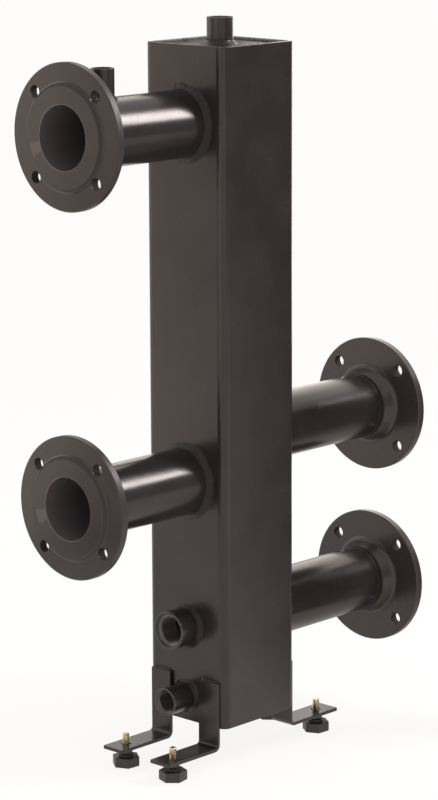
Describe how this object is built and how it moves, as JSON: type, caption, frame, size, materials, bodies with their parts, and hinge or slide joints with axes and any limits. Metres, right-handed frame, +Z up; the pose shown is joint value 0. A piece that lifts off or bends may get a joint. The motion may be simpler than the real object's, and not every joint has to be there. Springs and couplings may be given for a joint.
{
  "type": "hydraulic separator",
  "caption": "Upright hydraulic separator of welded steel: a square closed chamber with flanged pipe stubs on both sides, threaded sockets, and levelling feet on bent brackets.",
  "frame": {"origin": "point of the floor under the chamber's axis, with the feet at their middle setting", "axes": "+Z up along the chamber; +X towards the flanges that stand further out; +Y to the rear, across the pipes"},
  "size_m": [0.5175, 0.16, 0.8495],
  "materials": {
    "satin_black_paint": "satin black paint over welded steel",
    "yellow_zinc": "steel with a yellow zinc coating",
    "black_plastic": "moulded black plastic, fine matt grain"
  },
  "bodies": {
    "separator": {"chamber_tube": "satin_black_paint", "top_cap": "satin_black_paint", "bottom_cap": "satin_black_paint", "top_cap_weld": "satin_black_paint", "bottom_cap_weld": "satin_black_paint", "vent_socket": "satin_black_paint", "vent_socket_weld": "satin_black_paint", "gauge_socket": "satin_black_paint", "gauge_socket_weld": "satin_black_paint", "drain_socket": "satin_black_paint", "drain_socket_weld": "satin_black_paint", "probe_socket": "satin_black_paint", "probe_socket_weld": "satin_black_paint", "pipe_left_upper": "satin_black_paint", "flange_left_upper": "satin_black_paint", "root_weld_left_upper": "satin_black_paint", "butt_weld_left_upper": "satin_black_paint", "pipe_left_lower": "satin_black_paint", "flange_left_lower": "satin_black_paint", "root_weld_left_lower": "satin_black_paint", "butt_weld_left_lower": "satin_black_paint", "pipe_right_upper": "satin_black_paint", "flange_right_upper": "satin_black_paint", "root_weld_right_upper": "satin_black_paint", "butt_weld_right_upper": "satin_black_paint", "pipe_right_lower": "satin_black_paint", "flange_right_lower": "satin_black_paint", "root_weld_right_lower": "satin_black_paint", "butt_weld_right_lower": "satin_black_paint", "bracket_left_front": "satin_black_paint", "bracket_weld_left_front": "satin_black_paint", "weld_nut_left_front": "satin_black_paint", "bracket_left_rear": "satin_black_paint", "bracket_weld_left_rear": "satin_black_paint", "weld_nut_left_rear": "satin_black_paint", "bracket_right_front": "satin_black_paint", "bracket_weld_right_front": "satin_black_paint", "weld_nut_right_front": "satin_black_paint", "bracket_right_rear": "satin_black_paint", "bracket_weld_right_rear": "satin_black_paint", "weld_nut_right_rear": "satin_black_paint"},
    "foot_left_front": {"stud_left_front": "yellow_zinc", "foot_base_left_front": "black_plastic"},
    "foot_left_rear": {"stud_left_rear": "yellow_zinc", "foot_base_left_rear": "black_plastic"},
    "foot_right_front": {"stud_right_front": "yellow_zinc", "foot_base_right_front": "black_plastic"},
    "foot_right_rear": {"stud_right_rear": "yellow_zinc", "foot_base_right_rear": "black_plastic"}
  },
  "joints": [
    {"name": "level_left_front", "type": "slide", "parent": "separator", "child": "foot_left_front", "axis": [0, 0, -1], "range_m": [-0.0005, 0.012]},
    {"name": "level_left_rear", "type": "slide", "parent": "separator", "child": "foot_left_rear", "axis": [0, 0, -1], "range_m": [-0.0005, 0.012]},
    {"name": "level_right_front", "type": "slide", "parent": "separator", "child": "foot_right_front", "axis": [0, 0, -1], "range_m": [-0.0005, 0.012]},
    {"name": "level_right_rear", "type": "slide", "parent": "separator", "child": "foot_right_rear", "axis": [0, 0, -1], "range_m": [-0.0005, 0.012]}
  ]
}
